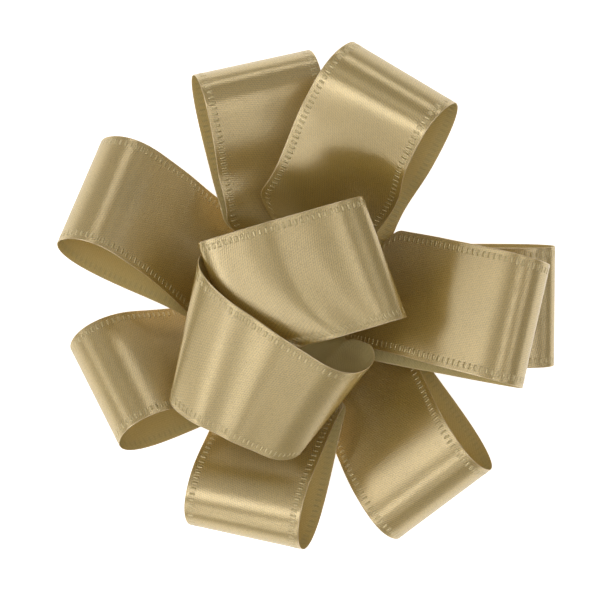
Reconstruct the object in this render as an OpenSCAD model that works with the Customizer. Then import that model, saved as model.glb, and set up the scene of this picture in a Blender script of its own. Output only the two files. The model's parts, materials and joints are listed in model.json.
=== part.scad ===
// Gift bow of wide satin ribbon: eight loops fan out in a rising clockwise spiral,
// two more stand over the middle, and one staple clinches all of their ends to a
// card with an adhesive foam pad below it. The origin is at the middle of the
// bow's flat underside. Azimuths are counter-clockwise from +X, seen from above.

/* [Ribbon] */
// Width of the ribbon
ribbon_w = 38; // [36:0.5:39]
// Thickness of the ribbon
ribbon_t = 0.3; // [0.2:0.05:0.35]
// Spacing of a loop's two plies where they meet
ply_gap = 0.34; // [0.34:0.02:0.4]
// Share of the belly that is above the loop's centre line
belly_above = 0.55; // [0.5:0.01:0.6]
// How late a loop's belly opens: higher is later
belly_power = 1.4; // [1.2:0.1:1.6]

/* [Stack] */
// Height that one loop's gathered ends take up under the staple
stack_pitch = 1; // [0.9:0.05:1.2]
// Width of the gathered ends, as a share of the ribbon's width
gather = 0.45; // [0.4:0.01:0.46]
// How far the outer loops' ends reach back past the middle
end_back = 9; // [8:0.5:10]
// Gap between a loop and its clinched ends, where it flexes
flex_gap = 0.4; // [0.3:0.05:0.6]

/* [Base] */
// Diameter of the release liner
liner_d = 36; // [34:1:40]
// Thickness of the release liner
liner_t = 0.2; // [0.15:0.05:0.3]
// Distance from the middle to the end of the liner's pull tab
tab_reach = 26; // [24:1:28]
// Width of the liner's pull tab
tab_w = 12; // [8:1:16]
// Azimuth of the pull tab
tab_azimuth = -80; // [-90:5:-70]
// Diameter of the foam pad
pad_d = 34; // [30:1:36]
// Thickness of the foam pad
pad_t = 4; // [3.6:0.1:4.4]
// Diameter of the backing card
card_d = 38; // [34:1:44]
// Thickness of the backing card
card_t = 0.8; // [0.6:0.1:1.2]

/* [Staple] */
// Diameter of the staple wire
wire_d = 0.7; // [0.6:0.05:0.8]
// Distance between the staple's legs
crown_w = 10; // [9:0.5:11]
// Length of each clinched leg end
clinch = 3.8; // [3:0.1:4.2]
// Azimuth of the staple's crown
staple_azimuth = 85; // [80:1:90]

/* [Smoothness] */
// Steps along each loop
steps_along = 36; // [24:4:60]
// Steps across each loop
steps_across = 4; // [2:2:8]

/* [Hidden] */
pad_z = liner_t;
card_z = pad_z + pad_t;
stack_z = card_z + card_t;
leg_clear = 0.1;
pocket_clear = 0.2;
disc_fn = 96;
hole_fn = 24;

// How a loop runs out from the stack: power of its rise, share of the run where its
// roll is complete, share where its root roll has faded, spread of its two plies at
// the root, skew of its tip, width share at the root, and radius where it starts
function low_run(bend) = [bend, 0.5, 0.5, 0, 0, gather, 16];
SEVENTH_RUN = [0.9, 1, 0.7, -4, -3, 0.7, 12];
EIGHTH_RUN = [0.75, 0.5, 0.6, -2, 0, gather, 12];

// Outer loops from the bottom of the stack up: azimuth, shift to the left, reach of
// the tip, belly height, rise of the tip, roll (positive lifts the left edge), extra
// roll near the root, and run
LOOPS = [
    [-1, -0.5, 80, 12, 9, 8, 0, low_run(1.5)],
    [-59, 5, 76.5, 19, 20, 22, 5, low_run(1.3)],
    [-108, 6, 74, 19, 20, 22, 8, low_run(1.2)],
    [-165, 11, 68, 19, 20, 32, 8, low_run(1.35)],
    [150, 4, 75, 20, 18, 27, 6, low_run(1.3)],
    [101.5, 0, 75.5, 17, 10, 14, 12, low_run(1.2)],
    [62, 5, 74, 18, 32, -20, 16, SEVENTH_RUN],
    [-12, 7, 70.5, 18, 28, -3, -5, EIGHTH_RUN]
];

// Centre loops, which stand up like rings: azimuth of the ribbon's length, height,
// left and right extent at the far rim, then at the near rim, power that blends the
// left extents, lean, drift towards the near rim low down, drift near the crest,
// pinch at the root, lift of the root, half spacing of the two ends, the share of
// the height over which the low drift happens, width share at the root, extra drift
// of the near rim towards the far rim, and skew of the near and the far rim
RINGS = [
    [
        -40.4, 22.7, -32, 29.3, -11.2, 30.3, 1, 18, -18, -12.1,
        0.5, 12, 5, 0.2, gather, 2.3, 5.5, 3.2
    ],
    [
        16, 27, -24.5, 27, -4.5, 29.5, 2.8, 0, 5.5, 0,
        1, 11, 4, 0.15, 0.3, 0, 0, 0
    ]
];
ring_girth = [1.02, 0.98];

loop_count = len(LOOPS);

// Height of the middle of one layer of the stack
function level_z(level) = stack_z + (level + 0.5) * stack_pitch;

// Eased step from 0 to 1
function ease(t) = let (c = min(1, max(0, t))) c * c * (3 - 2 * c);

// Hump that is 1 halfway between 0 and 1
function hump(t) = pow(sin(180 * min(1, max(0, t))), 2);

function turn(p, azimuth) = [
    p[0] * cos(azimuth) - p[1] * sin(azimuth),
    p[0] * sin(azimuth) + p[1] * cos(azimuth),
    p[2]
];

// Largest value of sin(a) * (1 - cos(a)) ^ power, which scales the belly
function belly_peak(power) = let (c = -power / (1 + power))
    sqrt(1 - c * c) * pow(1 - c, power);

// Share of the ribbon's width at one place between root (0) and full width (1)
function width_share(root, t) = root + (1 - root) * ease(t);

// Point on an outer loop's middle surface. The angle goes from 0 at the lower ply's
// root, through 180 at the tip, to 360 at the upper ply's root.
function loop_point(row, level, angle, side) = let (
    run = row[7],
    start = run[6],
    out = (1 - cos(angle)) / 2,
    ply = angle < 180 ? -1 : 1,
    share = ply < 0 ? 1 - belly_above : belly_above,
    open = row[3] * share * abs(sin(angle)) * pow(2 * out, belly_power)
        / belly_peak(belly_power),
    h = ply * (open + ply_gap / 2 * (1 - ease(out / 0.9))),
    y = side * ribbon_w / 2 * width_share(run[5], out / 0.25),
    roll = row[5] * ease(out / run[1]) + row[6] * hump(out / run[2]),
    across = y * cos(roll) - h * sin(roll),
    up = y * sin(roll) + h * cos(roll),
    length = row[2] - start,
    slope = atan(row[4] * run[0] * pow(max(out, 1e-6), run[0] - 1) / length),
    x = start + length * out - sin(slope) * up
        + across * tan(run[4]) * ease(out),
    shift = (row[1] - ply * run[3] * (1 - out)) * ease(out / 0.25),
    z = level_z(level) + row[4] * pow(out, run[0]) + cos(slope) * up
) turn([x, across + shift, z], row[0]);

// Point on a centre loop's middle surface. The angle goes from 0 at the right end,
// through 180 at the crest, to 360 at the left end.
function ring_point(row, girth, level, angle, side) = let (
    t = (side + 1) / 2,
    left = row[2] + (row[4] - row[2]) * pow(1 - t, row[6]),
    right = row[5] + (row[3] - row[5]) * t,
    rise = (1 - cos(angle)) / 2,
    leg = angle < 180 ? 1 : -1,
    pinch = row[10],
    reach = girth * sin(angle) * (1 - pinch + pinch * 2 * rise / belly_peak(1)),
    x = (right - left) / 2 * reach + (left + right) / 2 * ease(rise / 0.6)
        + leg * row[12] * (1 - ease(rise / 0.5)),
    y = side * ribbon_w / 2 * width_share(row[14], rise / 0.25),
    lean = row[7] * ease((rise - 0.45) / 0.55),
    near = (1 - t) * row[15] * ease((rise - 0.3) / 0.7),
    skew = ((1 - t) * row[16] + t * row[17]) * reach * ease(rise / 0.5),
    drift = row[8] * ease(rise / row[13]) + row[9] * ease((rise - 0.4) / 0.6)
        + near + skew,
    z = level_z(level) + y * sin(lean) + row[1] * rise + row[11] * ease(rise / 0.2)
) turn([x, y * cos(lean) + drift, z], row[0]);

function side_at(j) = 2 * j / steps_across - 1;

function angle_at(i) = 360 * i / steps_along;

function unit(v) = v / norm(v);

// Normal of a grid of points at row i and column j
function grid_normal(grid, i, j) = let (
    i0 = max(0, i - 1),
    i1 = min(len(grid) - 1, i + 1),
    j0 = max(0, j - 1),
    j1 = min(len(grid[0]) - 1, j + 1)
) unit(cross(grid[i1][j] - grid[i0][j], grid[i][j1] - grid[i][j0]));

// Two triangles for the four-sided patch a, b, c, d
function patch(a, b, c, d) = [[a, b, c], [a, c, d]];

// Closed sheet of the ribbon's thickness around a grid of points
module sheet(grid) {
    rows = len(grid);
    columns = len(grid[0]);
    size = rows * columns;
    half = ribbon_t / 2;
    points = [
        for (face = [1, -1]) for (i = [0:rows - 1]) for (j = [0:columns - 1])
            grid[i][j] + face * half * grid_normal(grid, i, j)
    ];
    front = [
        for (i = [0:rows - 2]) for (j = [0:columns - 2]) let (a = i * columns + j)
            each patch(a, a + 1, a + columns + 1, a + columns)
    ];
    back = [for (f = front) [f[2] + size, f[1] + size, f[0] + size]];
    near = [
        for (i = [0:rows - 2]) let (a = i * columns)
            each patch(a, a + columns, a + columns + size, a + size)
    ];
    far = [
        for (i = [0:rows - 2]) let (a = (i + 1) * columns - 1)
            each patch(a, a + size, a + columns + size, a + columns)
    ];
    first = [
        for (j = [0:columns - 2]) each patch(j, j + size, j + 1 + size, j + 1)
    ];
    last = [
        for (j = [0:columns - 2]) let (a = (rows - 1) * columns + j)
            each patch(a, a + 1, a + 1 + size, a + size)
    ];
    polyhedron(points, concat(front, back, near, far, first, last));
}

module satin() {
    color([0.72, 0.63, 0.44]) children();
}

// Holes for the staple's two legs, from height z up
module leg_holes(z, height) {
    rotate(staple_azimuth)
        for (x = [-1, 1] * crown_w / 2)
            translate([x, 0, z])
                cylinder(d = wire_d + 2 * leg_clear, h = height, $fn = hole_fn);
}

// Silicone paper disc with a pull tab that protects the pad's adhesive
module release_liner() {
    color([0.93, 0.92, 0.88]) {
        cylinder(d = liner_d, h = liner_t, $fn = disc_fn);
        rotate(tab_azimuth) {
            translate([0, -tab_w / 2, 0])
                cube([tab_reach - tab_w / 2, tab_w, liner_t]);
            translate([tab_reach - tab_w / 2, 0, 0])
                cylinder(d = tab_w, h = liner_t, $fn = disc_fn);
        }
    }
}

// Double-sided adhesive foam with a pocket for the clinched wire
module foam_pad() {
    pocket = [crown_w + wire_d + pocket_clear, wire_d + pocket_clear];
    color([0.9, 0.9, 0.86])
        difference() {
            translate([0, 0, pad_z]) cylinder(d = pad_d, h = pad_t, $fn = disc_fn);
            rotate(staple_azimuth)
                translate([-pocket[0] / 2, -pocket[1] / 2, card_z - wire_d - pocket_clear])
                    cube([pocket[0], pocket[1], card_t + wire_d]);
        }
}

// Stiff disc that carries the ribbons
module backing_card() {
    color([0.85, 0.8, 0.68])
        difference() {
            translate([0, 0, card_z]) cylinder(d = card_d, h = card_t, $fn = disc_fn);
            leg_holes(card_z - 1, card_t + 2);
        }
}

// Straight wire between two points on the staple's plane
module wire(from, to) {
    along = to - from;
    translate([from[0], 0, from[1]])
        rotate([0, atan2(along[0], along[1]), 0])
            cylinder(d = wire_d, h = norm(along), $fn = hole_fn);
    translate([from[0], 0, from[1]]) sphere(d = wire_d, $fn = hole_fn);
}

// Wire staple: a crown on top of the stack, two legs, and their clinched ends
module staple() {
    top = level_z(loop_count + 1) + stack_pitch / 2 + wire_d / 2;
    bottom = card_z - wire_d / 2;
    half = crown_w / 2;
    path = [
        [half - clinch, bottom], [half, bottom], [half, top],
        [-half, top], [-half, bottom], [clinch - half, bottom]
    ];
    color([0.75, 0.75, 0.78])
        rotate(staple_azimuth)
            for (i = [0:len(path) - 2]) wire(path[i], path[i + 1]);
}

// An outer loop's two gathered ends, one layer of the stack
module outer_ends(index) {
    row = LOOPS[index];
    run = row[7];
    width = ribbon_w * run[5];
    z = level_z(index) - stack_pitch / 2;
    satin()
        difference() {
            rotate(row[0])
                translate([-end_back, -width / 2, z])
                    cube([end_back + run[6] - flex_gap, width, stack_pitch]);
            leg_holes(z - 1, stack_pitch + 2);
        }
}

// A centre loop's two gathered ends, one layer of the stack
module centre_ends(index) {
    row = RINGS[index];
    width = ribbon_w * row[14];
    reach = row[12] - flex_gap;
    z = level_z(loop_count + index) - stack_pitch / 2;
    satin()
        difference() {
            rotate(row[0])
                translate([-reach, -width / 2, z]) cube([2 * reach, width, stack_pitch]);
            leg_holes(z - 1, stack_pitch + 2);
        }
}

// One teardrop loop, which flexes where it leaves the stack
module outer_loop(index) {
    satin()
        sheet([
            for (i = [0:steps_along]) [
                for (j = [0:steps_across])
                    loop_point(LOOPS[index], index, angle_at(i), side_at(j))
            ]
        ]);
}

// One standing loop over the middle of the bow
module centre_loop(index) {
    satin()
        sheet([
            for (i = [0:steps_along]) [
                for (j = [0:steps_across])
                    ring_point(RINGS[index], ring_girth[index], loop_count + index,
                        angle_at(i), side_at(j))
            ]
        ]);
}

release_liner();
foam_pad();
backing_card();
staple();
outer_ends(0);  // loop_1_ends
outer_ends(1);  // loop_2_ends
outer_ends(2);  // loop_3_ends
outer_ends(3);  // loop_4_ends
outer_ends(4);  // loop_5_ends
outer_ends(5);  // loop_6_ends
outer_ends(6);  // loop_7_ends
outer_ends(7);  // loop_8_ends
centre_ends(0);  // lower_centre_ends
centre_ends(1);  // upper_centre_ends
outer_loop(0);  // loop_1
outer_loop(1);  // loop_2
outer_loop(2);  // loop_3
outer_loop(3);  // loop_4
outer_loop(4);  // loop_5
outer_loop(5);  // loop_6
outer_loop(6);  // loop_7
outer_loop(7);  // loop_8
centre_loop(0);  // lower_centre_loop
centre_loop(1);  // upper_centre_loop
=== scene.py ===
import json
import math
from collections import namedtuple

import bmesh
import bpy
import numpy as np
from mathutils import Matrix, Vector


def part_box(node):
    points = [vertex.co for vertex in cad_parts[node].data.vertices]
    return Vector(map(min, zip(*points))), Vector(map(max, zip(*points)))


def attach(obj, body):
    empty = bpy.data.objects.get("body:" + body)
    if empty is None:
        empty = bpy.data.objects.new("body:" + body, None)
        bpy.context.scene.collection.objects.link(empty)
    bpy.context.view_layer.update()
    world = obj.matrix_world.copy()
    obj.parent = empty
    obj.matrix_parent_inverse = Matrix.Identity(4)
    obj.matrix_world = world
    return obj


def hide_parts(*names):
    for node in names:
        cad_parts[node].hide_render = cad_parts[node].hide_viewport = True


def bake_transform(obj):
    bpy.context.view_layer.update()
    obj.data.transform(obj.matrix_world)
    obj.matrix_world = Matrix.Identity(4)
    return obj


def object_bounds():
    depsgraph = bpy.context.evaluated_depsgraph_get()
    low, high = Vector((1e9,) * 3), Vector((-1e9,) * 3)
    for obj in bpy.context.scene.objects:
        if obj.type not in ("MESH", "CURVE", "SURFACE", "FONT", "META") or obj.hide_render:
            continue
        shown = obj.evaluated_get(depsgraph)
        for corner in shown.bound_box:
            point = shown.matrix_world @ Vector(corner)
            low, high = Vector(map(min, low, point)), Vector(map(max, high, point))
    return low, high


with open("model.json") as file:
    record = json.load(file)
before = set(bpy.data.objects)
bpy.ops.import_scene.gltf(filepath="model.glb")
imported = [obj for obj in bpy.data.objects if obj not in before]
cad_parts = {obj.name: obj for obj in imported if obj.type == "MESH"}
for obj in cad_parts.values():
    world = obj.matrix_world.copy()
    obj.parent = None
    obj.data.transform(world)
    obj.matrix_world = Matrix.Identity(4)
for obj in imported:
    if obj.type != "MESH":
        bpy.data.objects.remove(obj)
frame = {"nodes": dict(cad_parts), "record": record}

cad_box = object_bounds()
MM = 0.001

# ---------------------------------------------------------------- camera, straight above the bow
camera_data = bpy.data.cameras.new("camera")
camera_data.sensor_width = 36.0
camera_data.lens = 96.5
camera = bpy.data.objects.new("camera", camera_data)
camera.location = (0.0, 0.0, 0.5208)
bpy.context.scene.collection.objects.link(camera)
bpy.context.scene.camera = camera

# ---------------------------------------------------------------- the bow's dimensions, mm and degrees
# The loops follow the same formulas and dimensions as part.scad. The ribbon is thinner here, and
# has a bead along each edge.
RIBBON_W = 38.0
RIBBON_T = 0.22
BEAD_T = 0.29       # the bead along each edge of the ribbon
PLY_GAP = 0.34      # between the middles of a loop's two plies, at its root
BELLY_ABOVE = 0.55  # the belly's share above the loop's middle line
BELLY_POWER = 1.4
STACK_PITCH = 1.0
GATHER = 0.45       # width of a gathered end, as a share of the ribbon's
END_BACK = 9.0      # how far a loop's ends run past the middle
STACK_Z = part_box("loop_1_ends")[0][2] / MM

# How an outer loop runs out from the stack: the power of its rise, the share of the run where its
# roll is complete, the share where its root roll has faded, the spread of its two plies at the
# root, the skew of its tip, its width share at the root, and the radius where it starts.
Run = namedtuple("Run", "bend twist_end root_end fan skew gather start")
# An outer loop: its azimuth, its shift to the left, the reach of its tip from the middle, the
# height of its belly, the rise of its tip, its roll, and its extra roll near the root.
Loop = namedtuple("Loop", "azimuth shift reach belly rise roll root_roll run")


def low_run(bend):
    return Run(bend, 0.5, 0.5, 0.0, 0.0, GATHER, 16.0)


SEVENTH_RUN = Run(0.9, 1.0, 0.7, -4.0, -3.0, 0.7, 12.0)
EIGHTH_RUN = Run(0.75, 0.5, 0.6, -2.0, 0.0, GATHER, 12.0)

LOOPS = {
    "loop_1": Loop(-1.0, -0.5, 80.0, 12.0, 9.0, 8.0, 0.0, low_run(1.5)),
    "loop_2": Loop(-59.0, 5.0, 76.5, 19.0, 20.0, 22.0, 5.0, low_run(1.3)),
    "loop_3": Loop(-108.0, 6.0, 74.0, 19.0, 20.0, 22.0, 8.0, low_run(1.2)),
    "loop_4": Loop(-165.0, 11.0, 68.0, 19.0, 20.0, 32.0, 8.0, low_run(1.35)),
    "loop_5": Loop(150.0, 4.0, 75.0, 20.0, 18.0, 27.0, 6.0, low_run(1.3)),
    "loop_6": Loop(101.5, 0.0, 75.5, 17.0, 10.0, 14.0, 12.0, low_run(1.2)),
    "loop_7": Loop(62.0, 5.0, 74.0, 18.0, 32.0, -20.0, 16.0, SEVENTH_RUN),
    "loop_8": Loop(-12.0, 7.0, 70.5, 18.0, 28.0, -3.0, -5.0, EIGHTH_RUN),
}

# A loop that stands over the middle. It reaches from left to right at its far and its near rim,
# and blend_power says how the left extents blend. Low_drift and crest_drift move the ribbon
# across its own length, low down and near the crest, and near_drift adds to that at the near rim.
# Pinch narrows the root, and lift raises it. Spacing is half the distance between the two ends,
# drift_share is the share of the height over which the low drift happens, and gather is the width
# share at the root. The skews are those of the near and the far rim, and girth scales the width.
Ring = namedtuple("Ring", (
    "azimuth", "height", "left_far", "right_far", "left_near", "right_near", "blend_power", "lean",
    "low_drift", "crest_drift", "pinch", "lift", "spacing", "drift_share", "gather", "near_drift",
    "near_skew", "far_skew", "girth"))

RINGS = {
    "lower_centre": Ring(
        azimuth=-40.4, height=22.7, left_far=-32.0, right_far=29.3, left_near=-11.2,
        right_near=30.3, blend_power=1.0, lean=18.0, low_drift=-18.0, crest_drift=-12.1,
        pinch=0.5, lift=12.0, spacing=5.0, drift_share=0.2, gather=GATHER, near_drift=2.3,
        near_skew=5.5, far_skew=3.2, girth=1.02),
    "upper_centre": Ring(
        azimuth=16.0, height=27.0, left_far=-24.5, right_far=27.0, left_near=-4.5,
        right_near=29.5, blend_power=2.8, lean=0.0, low_drift=5.5, crest_drift=0.0,
        pinch=1.0, lift=11.0, spacing=4.0, drift_share=0.15, gather=0.3, near_drift=0.0,
        near_skew=0.0, far_skew=0.0, girth=0.98),
}

FULL_WIDTH_AT = 0.25  # the share of a loop's length, or of a ring's height, where it is ungathered
PLIES_PART_AT = 0.9   # the share of a loop's length over which the root's ply gap fades


def ease(t):
    c = np.clip(t, 0.0, 1.0)
    return c * c * (3.0 - 2.0 * c)


def ease_from(t, start):
    """Zero up to start, and then up to one at one."""
    return ease((t - start) / (1.0 - start))


def belly_peak(power):
    c = -power / (1.0 + power)
    return math.sqrt(1.0 - c * c) * (1.0 - c) ** power


def level_z(level):
    return STACK_Z + (level + 0.5) * STACK_PITCH


def turn(x, y, z, azimuth):
    a = math.radians(azimuth)
    return np.stack([x * math.cos(a) - y * math.sin(a), x * math.sin(a) + y * math.cos(a), z], -1)


def ribbon_y(side, gather, share):
    """The place across the ribbon, which is gathered at its root."""
    return side * RIBBON_W / 2.0 * (gather + (1.0 - gather) * ease(share / FULL_WIDTH_AT))


def loop_point(loop, level, angle, side):
    """The middle of an outer loop's ribbon. The angle goes from 0, the lower ply's root, to a full
    turn, the upper ply's root, and side from -1 to 1 across the ribbon."""
    run = loop.run
    out = (1.0 - np.cos(angle)) / 2.0
    ply = np.where(angle < math.pi, -1.0, 1.0)
    share = np.where(ply < 0, 1.0 - BELLY_ABOVE, BELLY_ABOVE)
    belly = loop.belly * share * np.abs(np.sin(angle)) * (2.0 * out) ** BELLY_POWER
    belly = belly / belly_peak(BELLY_POWER)
    h = ply * (belly + PLY_GAP / 2.0 * (1.0 - ease(out / PLIES_PART_AT)))
    y = ribbon_y(side, run.gather, out)
    hump = np.sin(math.pi * np.clip(out / run.root_end, 0.0, 1.0)) ** 2
    r = np.radians(loop.roll * ease(out / run.twist_end) + loop.root_roll * hump)
    across = y * np.cos(r) - h * np.sin(r)
    up = y * np.sin(r) + h * np.cos(r)
    length = loop.reach - run.start
    steepness = loop.rise * run.bend * np.maximum(out, 1e-6) ** (run.bend - 1.0)
    slope = np.arctan(steepness / length)
    x = run.start + length * out - np.sin(slope) * up
    x = x + across * math.tan(math.radians(run.skew)) * ease(out)
    shift = (loop.shift - ply * run.fan * (1.0 - out)) * ease(out / FULL_WIDTH_AT)
    z = level_z(level) + loop.rise * out ** run.bend + np.cos(slope) * up
    return turn(x, across + shift, z, loop.azimuth)


def ring_point(ring, level, angle, side):
    """The middle of a centre loop's ribbon, by the same angle and side."""
    far = (side + 1.0) / 2.0
    near = 1.0 - far
    left = ring.left_far + (ring.left_near - ring.left_far) * near ** ring.blend_power
    right = ring.right_near + (ring.right_far - ring.right_near) * far
    rise = (1.0 - np.cos(angle)) / 2.0
    leg = np.where(angle < math.pi, 1.0, -1.0)
    full = 1.0 - ring.pinch + ring.pinch * 2.0 * rise / belly_peak(1.0)
    reach = ring.girth * np.sin(angle) * full
    x = (right - left) / 2.0 * reach + (left + right) / 2.0 * ease(rise / 0.6)
    x = x + leg * ring.spacing * (1.0 - ease(rise / 0.5))
    y = ribbon_y(side, ring.gather, rise)
    tilt = np.radians(ring.lean) * ease_from(rise, 0.45)
    drift = ring.low_drift * ease(rise / ring.drift_share)
    drift = drift + ring.crest_drift * ease_from(rise, 0.4)
    drift = drift + near * ring.near_drift * ease_from(rise, 0.3)
    drift = drift + (near * ring.near_skew + far * ring.far_skew) * reach * ease(rise / 0.5)
    z = level_z(level) + y * np.sin(tilt) + ring.height * rise + ring.lift * ease(rise / 0.2)
    return turn(x, y * np.cos(tilt) + drift, z, ring.azimuth)


# ---------------------------------------------------------------- ribbon meshes
# distances from the ribbon's edge, and the half thickness at each: the bead, then the selvedge
EDGE = np.array([0.0, 0.10, 0.28, 0.55, 1.25, 2.2, 3.3])
EDGE_H = np.array([0.0, 0.6, 1.0, 0.8, 0.76, 0.76, 0.76]) * BEAD_T / 2.0
INNER_FROM = 4.6
INNER_COLUMNS = 15
LOOP_ROWS = 200
END_ROWS = 25
UV_PER_MM = 0.01


def columns():
    """Places across the ribbon from -1 to 1, and the half thickness at each, mm."""
    half_width = RIBBON_W / 2.0
    inner = np.linspace(-half_width + INNER_FROM, half_width - INNER_FROM, INNER_COLUMNS)
    y = np.concatenate([-half_width + EDGE, inner, (half_width - EDGE)[::-1]])
    h = np.concatenate([EDGE_H, np.full(len(inner), RIBBON_T / 2.0), EDGE_H[::-1]])
    return y / half_width, h


# how far past its turn each loop's satin lies flattest, and its ripples' depth and length, mm
Ripple = namedtuple("Ripple", "flat_at depth length")
RIPPLES = {
    "loop_1": Ripple(11.0, 0.16, 20.0),
    "loop_2": Ripple(17.0, 0.16, 20.0),
    "loop_3": Ripple(12.0, 0.16, 20.0),
    "loop_4": Ripple(11.0, 0.16, 20.0),
    "loop_5": Ripple(6.0, 0.16, 20.0),
    "loop_6": Ripple(18.0, 0.16, 20.0),
    "loop_7": Ripple(22.0, 0.16, 20.0),
    "loop_8": Ripple(22.0, 0.16, 20.0),
    "lower_centre": Ripple(4.0, 0.22, 15.0),
    "upper_centre": Ripple(-6.0, 0.45, 24.0),
}
RIPPLES_FROM = 0.25  # the share of the loop's length where the ripples begin
RIPPLES_OVER = 0.35  # and over which they come in
TURN_FADE = 8.0      # where only the upper ply ripples, the ripples come in over this length, mm


def outward(rows):
    """Unit normals on the satin's side of the ribbon."""
    along = np.gradient(rows, axis=0)
    across = np.gradient(rows, axis=1)
    n = np.cross(across, along)
    return n / np.maximum(np.linalg.norm(n, axis=-1, keepdims=True), 1e-12)


def arc_lengths(rows):
    step = np.linalg.norm(np.diff(rows[:, rows.shape[1] // 2], axis=0), axis=1)
    return np.concatenate([[0.0], np.cumsum(step)])


def rippled(rows, angles, ripple, both_plies):
    """The satin's shallow ripples, which fade out towards the roots."""
    s = arc_lengths(rows)
    past_turn = s - np.interp(math.pi, angles, s)
    out = (1.0 - np.cos(angles)) / 2.0
    phase = 2.0 * math.pi * (past_turn - ripple.flat_at) / ripple.length
    wave = -ripple.depth * np.cos(phase) * ease((out - RIPPLES_FROM) / RIPPLES_OVER)
    if not both_plies:
        wave = wave * ease((past_turn + TURN_FADE / 2.0) / TURN_FADE)
    return rows + outward(rows) * wave[:, None, None]


def strip_rows(point, end_lower, end_upper, ripple, both_plies):
    """Mid-surface rows from one ribbon end, round the loop, to the other end."""
    v, _ = columns()
    angles = np.linspace(0.0, 2.0 * math.pi, LOOP_ROWS + 1)
    # even steps of the angle would crowd the rows at the roots, so they are spaced by arc length
    mid = point(angles, np.zeros_like(angles))
    step = np.linalg.norm(np.diff(mid, axis=0), axis=1)
    arc = np.concatenate([[0.0], np.cumsum(step)])
    even = np.interp(np.linspace(0.0, arc[-1], LOOP_ROWS + 1), arc, angles)
    body = point(even[:, None] + 0.0 * v[None, :], v[None, :] + 0.0 * even[:, None])
    body = rippled(body, even, ripple, both_plies)
    return np.concatenate([end_lower(body[0]), body, end_upper(body[-1])])


def link(name, mesh):
    obj = bpy.data.objects.new(name, mesh)
    bpy.context.scene.collection.objects.link(obj)
    return obj


def smooth_mesh(name, points, faces, uvs):
    """A smooth mesh from points in mm, with one UV for each corner of each face."""
    mesh = bpy.data.meshes.new(name)
    mesh.from_pydata((np.array(points) * MM).tolist(), [], faces)
    layer = mesh.uv_layers.new(name="ribbon")
    layer.data.foreach_set("uv", np.array(uvs, np.float32).ravel())
    mesh.polygons.foreach_set("use_smooth", [True] * len(faces))
    return mesh


def ribbon_mesh(name, rows):
    """A closed ribbon with rounded, slightly beaded edges. Material 0 is the face, 1 the reverse."""
    v, half = columns()
    count, width = rows.shape[:2]
    n = outward(rows)
    front = rows + n * half[None, :, None]
    back = rows[:, 1:-1] - n[:, 1:-1] * half[None, 1:-1, None]
    points = np.concatenate([front.reshape(-1, 3), back.reshape(-1, 3)])

    def on_front(i, j):
        return i * width + j

    def on_back(i, j):
        # the two sides share the points along both edges
        if j in (0, width - 1):
            return on_front(i, j)
        return count * width + i * (width - 2) + j - 1

    faces, slots, uvs = [], [], []
    length = arc_lengths(rows)
    across = v * RIBBON_W / 2.0

    def uv(i, j):
        return (across[j] * UV_PER_MM, length[i] * UV_PER_MM)

    for i in range(count - 1):
        for j in range(width - 1):
            quad = [(i, j), (i, j + 1), (i + 1, j + 1), (i + 1, j)]
            faces.append([on_front(*q) for q in quad])
            uvs += [uv(*q) for q in quad]
            slots.append(0)
            quad.reverse()
            faces.append([on_back(*q) for q in quad])
            uvs += [uv(*q) for q in quad]
            slots.append(0 if j in (0, width - 2) else 1)
    for i, first in ((0, True), (count - 1, False)):
        for j in range(width - 1):
            ring = [on_front(i, j), on_front(i, j + 1), on_back(i, j + 1), on_back(i, j)]
            if first:
                ring.reverse()
            # at the ribbon's edges the cap is a triangle
            corners = list(dict.fromkeys(ring))
            faces.append(corners)
            uvs += [uv(i, j)] * len(corners)
            slots.append(1)
    mesh = smooth_mesh(name, points, faces, uvs)
    mesh.polygons.foreach_set("material_index", slots)
    mesh.update()
    mesh.validate()
    return mesh


# the selvedge's raised floats, mm: spacing along the edge, where they lie in from it, and size
TICK_PERIOD = 1.75
TICK_IN = (1.35, 3.1)
TICK_W = 0.7
TICK_H = 0.06
TICK_SUNK = 0.05
TICK_ACROSS = 5  # points across the ribbon
TICK_ALONG = 4   # points along it


def tick_quads(start):
    """The faces of one bar, whose points come in pairs: the top one, then the bottom one."""
    def at(a, b, low):
        return start + 2 * (a * TICK_ALONG + b) + low

    last_a, last_b = TICK_ACROSS - 1, TICK_ALONG - 1
    quads = []
    for a in range(last_a):
        for b in range(last_b):
            quads.append([at(a, b, 0), at(a + 1, b, 0), at(a + 1, b + 1, 0), at(a, b + 1, 0)])
            quads.append([at(a, b, 1), at(a, b + 1, 1), at(a + 1, b + 1, 1), at(a + 1, b, 1)])
    rim = [(a, 0) for a in range(last_a)] + [(last_a, b) for b in range(last_b)]
    rim += [(a, last_b) for a in range(last_a, 0, -1)] + [(0, b) for b in range(last_b, 0, -1)]
    for c, d in zip(rim, rim[1:] + rim[:1]):
        quads.append([at(*c, 0), at(*c, 1), at(*d, 1), at(*d, 0)])
    return quads


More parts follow.
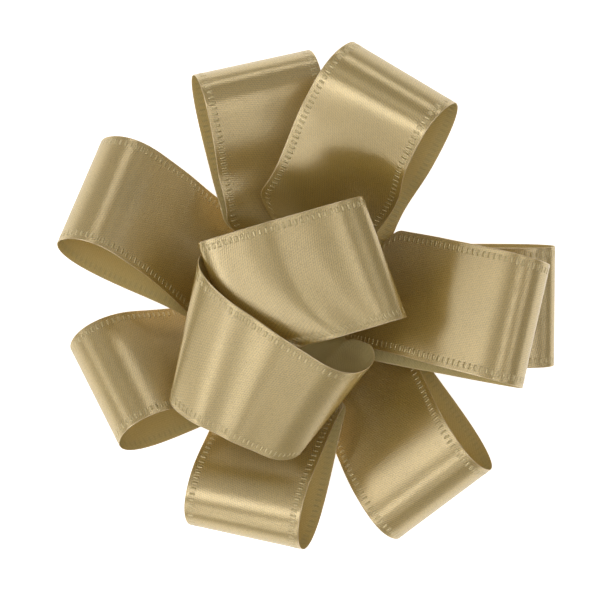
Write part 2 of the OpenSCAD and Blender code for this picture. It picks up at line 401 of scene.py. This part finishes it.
def tick_mesh(name, rows, skip):
    """One small rounded bar every TICK_PERIOD along both edges of the satin's face."""
    v, _ = columns()
    length = arc_lengths(rows)
    n = outward(rows)
    across = v * RIBBON_W / 2.0
    points, faces, point_uvs = [], [], []

    def on_ribbon(y, s):
        """The ribbon's middle and its normal at a place across and along it."""
        j = min(int(np.searchsorted(across, y)) - 1, len(across) - 2)
        fj = (y - across[j]) / (across[j + 1] - across[j])
        i = min(max(int(np.searchsorted(length, s)) - 1, 0), len(length) - 2)
        fi = (s - length[i]) / (length[i + 1] - length[i])
        weights = [(1 - fi) * (1 - fj), (1 - fi) * fj, fi * (1 - fj), fi * fj]
        corners = [(i, j), (i, j + 1), (i + 1, j), (i + 1, j + 1)]
        place = sum(w * rows[c] for w, c in zip(weights, corners))
        normal = sum(w * n[c] for w, c in zip(weights, corners))
        return place, normal / np.linalg.norm(normal)

    for edge in (-1.0, 1.0):
        for middle in np.arange(length[0] + skip, length[-1] - skip, TICK_PERIOD):
            start = len(points)
            # the floats stand up unevenly
            uneven = math.sin(middle * 5.3 + edge) * math.sin(middle * 1.9)
            tall = TICK_H * (0.62 + 0.38 * uneven)
            for a in range(TICK_ACROSS):
                k = a / (TICK_ACROSS - 1)
                y = edge * (RIBBON_W / 2.0 - TICK_IN[0] - (TICK_IN[1] - TICK_IN[0]) * k)
                crown = math.sin(math.pi * (0.12 + 0.76 * k)) ** 0.5
                for b, along in enumerate(np.linspace(-0.5, 0.5, TICK_ALONG)):
                    s = middle + along * TICK_W
                    place, normal = on_ribbon(y, s)
                    top = tall * crown * (1.0 if 0 < b < TICK_ALONG - 1 else 0.35)
                    points.append(place + normal * (RIBBON_T / 2.0 + top))
                    points.append(place + normal * (RIBBON_T / 2.0 - TICK_SUNK))
                    point_uvs += [(y * UV_PER_MM, s * UV_PER_MM)] * 2
            quads = tick_quads(start)
            # the bars on the two edges are mirror images, so one edge's faces are turned round
            first_top, first_bottom = points[start], points[start + 1]
            far_across = points[start + 2 * (TICK_ACROSS - 1) * TICK_ALONG]
            far_along = points[start + 2 * (TICK_ALONG - 1)]
            facing = np.cross(far_across - first_top, far_along - first_top)
            if np.dot(facing, first_top - first_bottom) < 0:
                quads = [q[::-1] for q in quads]
            faces += quads
    mesh = smooth_mesh(name, points, faces, [point_uvs[k] for face in faces for k in face])
    mesh.update()
    mesh.validate()
    return mesh


# ---------------------------------------------------------------- node helpers
class Tree:
    """A new material's node tree, with short calls for the nodes used here."""

    def __init__(self, name):
        self.material = bpy.data.materials.new(name)
        self.material.use_nodes = True
        self.t = self.material.node_tree
        self.t.nodes.clear()

    def node(self, kind, **settings):
        n = self.t.nodes.new(kind)
        for k, val in settings.items():
            setattr(n, k, val)
        return n

    def put(self, socket, value):
        if isinstance(value, bpy.types.NodeSocket):
            self.t.links.new(value, socket)
        elif value is not None:
            socket.default_value = value

    def math(self, op, a, b=None):
        n = self.node("ShaderNodeMath", operation=op)
        self.put(n.inputs[0], a)
        self.put(n.inputs[1], b)
        return n.outputs[0]

    def add(self, a, b):
        return self.math("ADD", a, b)

    def times(self, a, b):
        return self.math("MULTIPLY", a, b)

    def step(self, value, low, high, to0=0.0, to1=1.0):
        n = self.node("ShaderNodeMapRange", interpolation_type="SMOOTHSTEP")
        for s, val in zip(n.inputs, (value, low, high, to0, to1)):
            self.put(s, val)
        return n.outputs[0]

    def mix(self, factor, a, b):
        n = self.node("ShaderNodeMix", data_type="RGBA", blend_type="MIX")
        self.put(n.inputs[0], factor)
        self.put(n.inputs[6], a)
        self.put(n.inputs[7], b)
        return n.outputs[2]

    def vec(self, x, y, z=0.0):
        n = self.node("ShaderNodeCombineXYZ")
        for s, val in zip(n.inputs, (x, y, z)):
            self.put(s, val)
        return n.outputs[0]

    def noise(self, vector, scale, detail=2.0, rough=0.5):
        n = self.node("ShaderNodeTexNoise")
        self.put(n.inputs["Vector"], vector)
        n.inputs["Scale"].default_value = scale
        n.inputs["Detail"].default_value = detail
        n.inputs["Roughness"].default_value = rough
        return n.outputs["Fac"]

    def bump(self, height, distance, strength):
        n = self.node("ShaderNodeBump")
        n.inputs["Strength"].default_value = strength
        n.inputs["Distance"].default_value = distance
        self.put(n.inputs["Height"], height)
        return n.outputs[0]

    def shader(self, **sockets):
        """A principled shader on the output. Underscores in the names stand for spaces."""
        n = self.node("ShaderNodeBsdfPrincipled")
        for name, value in sockets.items():
            self.put(n.inputs[name.replace("_", " ")], value)
        out = self.node("ShaderNodeOutputMaterial")
        self.put(out.inputs[0], n.outputs[0])


# ---------------------------------------------------------------- satin
# The weave's first lines lie at first_slant degrees, and the second ones cross them. Spread is how
# far the threads differ in colour, and gap how much painted shade darkens the selvedge between its
# floats.
Satin = namedtuple(
    "Satin", "colour spread first_slant second_share gap relief rough metallic ior anisotropic")
FACE = Satin(
    colour=(0.44, 0.31, 0.078, 1.0), spread=0.36, first_slant=14.0, second_share=0.8, gap=0.12,
    relief=0.00006, rough=(0.36, 0.27), metallic=0.42, ior=3.0, anisotropic=0.9)
REVERSE = Satin(
    colour=(0.5, 0.415, 0.185, 1.0), spread=0.14, first_slant=48.0, second_share=0.0, gap=0.1,
    relief=0.00005, rough=(0.62, 0.52), metallic=0.1, ior=1.5, anisotropic=0.3)
FIRST_LINES = 0.62   # spacing of the weave's lines, mm
SECOND_SLANT = 68.0
SECOND_LINES = 0.7
FLOAT_HIGHLIGHT_COLOUR = (0.68, 0.5, 0.18, 1.0)
GAP_SHADE_COLOUR = (0.16, 0.10, 0.035, 1.0)
BEAD_COLOUR = (0.62, 0.47, 0.25, 1.0)


def satin_material(name, satin, ticks=False):
    t = Tree(name)
    uv = t.node("ShaderNodeUVMap", uv_map="ribbon")
    parts = t.node("ShaderNodeSeparateXYZ")
    t.put(parts.inputs[0], uv.outputs[0])
    across = t.times(parts.outputs[0], 1.0 / UV_PER_MM)
    along = t.times(parts.outputs[1], 1.0 / UV_PER_MM)
    edge = t.math("SUBTRACT", RIBBON_W / 2.0, t.math("ABSOLUTE", across))

    def slanted(degrees, spacing):
        a = math.radians(degrees)
        phase = t.add(
            t.times(along, math.cos(a) / spacing), t.times(across, math.sin(a) / spacing))
        return t.math("SINE", t.times(phase, 2.0 * math.pi))

    # the satin's floats: two sets of slanted lines that cross as a lattice of fine points
    lines = t.add(
        slanted(satin.first_slant, FIRST_LINES),
        t.times(slanted(SECOND_SLANT, SECOND_LINES), satin.second_share))
    thread = t.noise(t.vec(t.times(across, 3.0), t.times(along, 2.0)), 1.0, 1.0)
    broad = t.noise(t.vec(t.times(across, 0.10), t.times(along, 0.05)), 1.0, 2.0)
    grain = t.add(t.times(lines, 0.32), t.times(t.math("SUBTRACT", thread, 0.5), 2.2))

    # the gaps between the selvedge's floats, where painted shade darkens the colour and the relief
    # dips
    inside = t.step(edge, 3.1, 3.4)
    band = t.times(t.step(edge, 1.2, 1.4), t.math("SUBTRACT", 1.0, inside))
    beat = t.math("SINE", t.times(along, 2.0 * math.pi / TICK_PERIOD))
    gaps = t.times(band, t.step(beat, -0.2, -0.75))

    rgb = satin.colour[:3]
    light = tuple(c * (1.0 + satin.spread) for c in rgb) + (1.0,)
    dark = tuple(c * (1.0 - satin.spread) for c in rgb) + (1.0,)
    colour = t.mix(t.step(grain, -1.0, 1.0), dark, light)
    colour = t.mix(t.step(broad, 0.35, 0.65, 0.0, 0.12), colour, light)
    if ticks:
        # painted highlight: the raised floats are mixed towards a light cream for the sheen they catch
        colour = t.mix(0.45, colour, FLOAT_HIGHLIGHT_COLOUR)
    else:
        # painted shade: the gaps between the raised floats are mixed towards a dark brown
        colour = t.mix(t.times(gaps, satin.gap), colour, GAP_SHADE_COLOUR)
        colour = t.mix(t.step(edge, 0.32, 0.18, 0.0, 0.55), colour, BEAD_COLOUR)
    height = t.add(t.times(grain, 0.5), t.times(gaps, -1.2))
    tangent = t.node("ShaderNodeTangent", direction_type="UV_MAP", uv_map="ribbon")
    t.shader(
        Base_Color=colour,
        Normal=t.bump(height, satin.relief, 0.55),
        Roughness=t.step(grain, -1.0, 1.0, *satin.rough),
        Metallic=satin.metallic,
        Subsurface_Weight=0.6,
        Subsurface_Radius=(1.0, 0.86, 0.6),
        Subsurface_Scale=0.0006,
        IOR=satin.ior,
        Anisotropic=satin.anisotropic,
        Tangent=tangent.outputs[0],
    )
    return t.material


face_material = satin_material("satin_face", FACE)
reverse_material = satin_material("satin_reverse", REVERSE)
tick_material = satin_material("selvedge_floats", FACE, ticks=True)


# ---------------------------------------------------------------- the ten ribbons
LOOP_TICKS_FROM = 22.0   # the floats start this far from the ribbon's ends
RING_TICKS_FROM = 8.0
RING_END_GAP = 0.25        # each of its ends lies this far from the middle of its level


def straight_end(azimuth, x_from, x_to, z, gather, reverse):
    """Rows of a gathered ribbon end lying in the stack, from x_from to just short of x_to."""
    v, _ = columns()
    x = np.linspace(x_from, x_to, END_ROWS)[:-1]
    if reverse:
        x = x[::-1]
    y = v * RIBBON_W / 2.0 * gather
    xx, yy = np.meshgrid(x, y, indexing="ij")
    return turn(xx, yy, np.full_like(xx, z), azimuth)


bodies = frame["record"]["behaviour"]["bodies"]
base_body = next(body for body, nodes in bodies.items() if "staple" in nodes)


def add_ribbon(name, cad_loop, cad_ends, rows, skip):
    ribbon = link(name, ribbon_mesh(name, rows))
    ribbon.data.materials.append(face_material)
    ribbon.data.materials.append(reverse_material)
    ticks = link(name + "_selvedge", tick_mesh(name + "_selvedge", rows, skip))
    ticks.data.materials.append(tick_material)
    for piece in (ribbon, ticks):
        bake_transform(piece)
    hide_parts(cad_loop, cad_ends)


for level, (name, loop) in enumerate(LOOPS.items()):
    start, gather = loop.run.start, loop.run.gather
    z = level_z(level)
    rows = strip_rows(
        lambda a, s: loop_point(loop, level, a, s),
        lambda first: straight_end(
            loop.azimuth, -END_BACK, start, z - PLY_GAP / 2.0, gather, False),
        lambda last: straight_end(
            loop.azimuth, -END_BACK, start, z + PLY_GAP / 2.0, gather, True),
        RIPPLES[name], False,
    )
    add_ribbon(
        "ribbon_" + name, name, name + "_ends", rows,
        LOOP_TICKS_FROM,
    )

for level, (name, ring) in enumerate(RINGS.items(), len(LOOPS)):
    spacing, gather = ring.spacing, ring.gather
    z = level_z(level)
    rows = strip_rows(
        lambda a, s: ring_point(ring, level, a, s),
        lambda first: straight_end(
            ring.azimuth, -spacing * 0.8, spacing, z - RING_END_GAP, gather, False),
        lambda last: straight_end(
            ring.azimuth, spacing * 0.8, -spacing, z + RING_END_GAP, gather, True),
        RIPPLES[name], True,
    )
    add_ribbon(
        "ribbon_" + name, name + "_loop", name + "_ends", rows,
        RING_TICKS_FROM,
    )


# ---------------------------------------------------------------- the base: liner, foam, card, staple
def board_material(name, light, dark, rough, fibre, dents, sheen=0.0, holes=False):
    """Card, paper or foam: its colour wanders, and its fibres or cells show in the relief. A foam's
    pores are darkened with painted shade.
    """
    t = Tree(name)
    where = t.node("ShaderNodeTexCoord").outputs["Object"]
    cloud = t.noise(where, 120.0, 3.0)
    fine = t.noise(where, fibre, 4.0, 0.7)
    colour = t.mix(t.step(t.add(t.times(cloud, 0.5), t.times(fine, 0.5)), 0.38, 0.62), dark, light)
    relief = fine
    if holes:
        cells = t.node("ShaderNodeTexVoronoi")
        t.put(cells.inputs["Vector"], where)
        cells.inputs["Scale"].default_value = 1400.0
        relief = t.step(cells.outputs["Distance"], 0.05, 0.5)
        # painted shade: the foam's pores are mixed towards a darker tone
        pore_shade_colour = tuple(c * 0.7 for c in dark[:3]) + (1.0,)
        colour = t.mix(t.math("SUBTRACT", 1.0, relief), colour, pore_shade_colour)
    t.shader(
        Base_Color=colour,
        Roughness=t.step(fine, 0.3, 0.7, rough - 0.06, rough + 0.06),
        Normal=t.bump(relief, dents, 0.6),
        Coat_Weight=sheen,
        Coat_Roughness=0.3,
    )
    return t.material


def steel_material(name):
    t = Tree(name)
    fine = t.noise(t.node("ShaderNodeTexCoord").outputs["Object"], 900.0, 3.0, 0.6)
    t.shader(
        Base_Color=t.mix(
            t.step(fine, 0.35, 0.65), (0.52, 0.53, 0.55, 1.0), (0.68, 0.68, 0.69, 1.0)),
        Roughness=t.step(fine, 0.3, 0.7, 0.22, 0.36),
        Normal=t.bump(fine, 0.00002, 0.4),
        Metallic=1.0,
    )
    return t.material


def foam_disc(name, node):
    """The foam pad: it bulges between its two skins, with a round recess for the clinched wire."""
    low, high = (Vector(c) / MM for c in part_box(node))
    radius = (high.x - low.x) / 2.0
    edge, bulge, recess, depth = 0.35, 0.35, 7.2, 1.1
    inner, rim = 0.3, 1.2
    quarter = [math.radians(22.5 * q) for q in range(5)]
    # half section, from the middle of the underside to the bottom of the recess: radius and height
    section = [(r, low.z) for r in (inner, radius * 0.3, radius * 0.65, radius - rim)]
    for b in quarter:
        corner = edge * (1.0 - math.sin(b))
        section.append((radius - corner, low.z + edge * (1.0 - math.cos(b))))
    for q in range(1, 8):
        k = q / 8.0
        side = (high.z - low.z - 2.0 * edge) * k
        section.append((radius + bulge * math.sin(math.pi * k), low.z + edge + side))
    for b in quarter[::-1]:
        corner = edge * (1.0 - math.sin(b))
        section.append((radius - corner, high.z - edge * (1.0 - math.cos(b))))
    section += [(r, high.z) for r in (radius - rim, recess + rim, recess + 0.25)]
    section += [(recess, high.z - 0.25)]
    section += [(r, high.z - depth) for r in (recess - 0.1, recess * 0.5, inner)]
    segments = 128
    circle = [2.0 * math.pi * k / segments for k in range(segments)]
    bm = bmesh.new()
    rings = []
    for r, z in section:
        places = [(r * math.cos(a) * MM, r * math.sin(a) * MM, z * MM) for a in circle]
        rings.append([bm.verts.new(place) for place in places])
    for one, other in zip(rings, rings[1:]):
        for k in range(segments):
            m = (k + 1) % segments
            bm.faces.new((one[k], other[k], other[m], one[m])).smooth = True
    bm.faces.new(rings[0])
    bm.faces.new(rings[-1][::-1])
    bmesh.ops.recalc_face_normals(bm, faces=bm.faces)
    mesh = bpy.data.meshes.new(name)
    bm.to_mesh(mesh)
    bm.free()
    return link(name, mesh)


def repaint(node, material):
    data = frame["nodes"][node].data
    data.materials.clear()
    data.materials.append(material)


repaint("release_liner", board_material(
    "liner_paper", (0.86, 0.84, 0.77, 1.0), (0.77, 0.74, 0.66, 1.0), 0.36, 2600.0, 0.00002,
    sheen=0.3))
repaint("backing_card", board_material(
    "card_board", (0.66, 0.58, 0.43, 1.0), (0.55, 0.46, 0.32, 1.0), 0.82, 1800.0, 0.00005))
repaint("staple", steel_material("staple_steel"))
foam = foam_disc("foam_adhesive_pad", "foam_pad")
foam.data.materials.append(board_material(
    "foam_white", (0.84, 0.84, 0.79, 1.0), (0.74, 0.73, 0.66, 1.0), 0.75, 900.0, 0.00012,
    holes=True))
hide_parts("foam_pad")
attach(foam, base_body)

# ---------------------------------------------------------------- lights, floor and world
BOX = (0.19, 0.19)
LIGHT_DISTANCE = 0.75
# degrees away from straight up, azimuth, size in metres, energy
SOFTBOXES = {
    "key_softbox": (37, 182, BOX, 0.54),
    "left_softbox": (52, 178, BOX, 0.45),
    "front_left_softbox": (45, 225, BOX, 0.48),
    "high_front_left_softbox": (22, 240, BOX, 0.16),
    "low_front_left_softbox": (68, 226, BOX, 0.36),
    "overhead_softbox": (15, 2, (0.09, 0.2), 0.34),
    "front_softbox": (32, 268, BOX, 0.25),
    "front_right_softbox": (28, 315, BOX, 0.2),
    "back_softbox": (62, 90, BOX, 0.42),
    "back_left_softbox": (28, 135, BOX, 0.17),
    "right_softbox": (45, 0, BOX, 0.27),
}


def softbox(name, off_axis, azimuth, size, energy):
    """A softbox that faces the bow."""
    data = bpy.data.lights.new(name, "AREA")
    data.shape = "RECTANGLE"
    data.size, data.size_y = size
    data.energy = energy
    lamp = bpy.data.objects.new(name, data)
    o, z = math.radians(off_axis), math.radians(azimuth)
    towards = Vector((math.sin(o) * math.cos(z), math.sin(o) * math.sin(z), math.cos(o)))
    lamp.location = towards * LIGHT_DISTANCE
    aim = Vector((0.0, 0.0, 0.02)) - lamp.location
    lamp.rotation_euler = aim.to_track_quat("-Z", "Y").to_euler()
    bpy.context.scene.collection.objects.link(lamp)


for name, settings in SOFTBOXES.items():
    softbox(name, *settings)

FLOOR_HALF = 3.0
FLOOR_BELOW = 0.0002
floor_mesh = bpy.data.meshes.new("floor")
floor_signs = ((-1, -1), (1, -1), (1, 1), (-1, 1))
floor_corners = [(x * FLOOR_HALF, y * FLOOR_HALF, 0) for x, y in floor_signs]
floor_mesh.from_pydata(floor_corners, [], [(0, 1, 2, 3)])
floor = link("floor", floor_mesh)
floor.location.z = float(cad_box[0][2]) - FLOOR_BELOW
floor_tree = Tree("floor_white")
floor_tree.shader(
    Base_Color=(0.93, 0.93, 0.93, 1.0),
    Roughness=0.9,
    Emission_Color=(1.0, 1.0, 1.0, 1.0),
    Emission_Strength=0.78,
)
floor_mesh.materials.append(floor_tree.material)

world = bpy.data.worlds.new("studio")
bpy.context.scene.world = world
world.use_nodes = True
world.node_tree.nodes["Background"].inputs[0].default_value = (1.0, 1.0, 1.0, 1.0)
world.node_tree.nodes["Background"].inputs[1].default_value = 0.34
bpy.context.scene.view_settings.view_transform = "Standard"
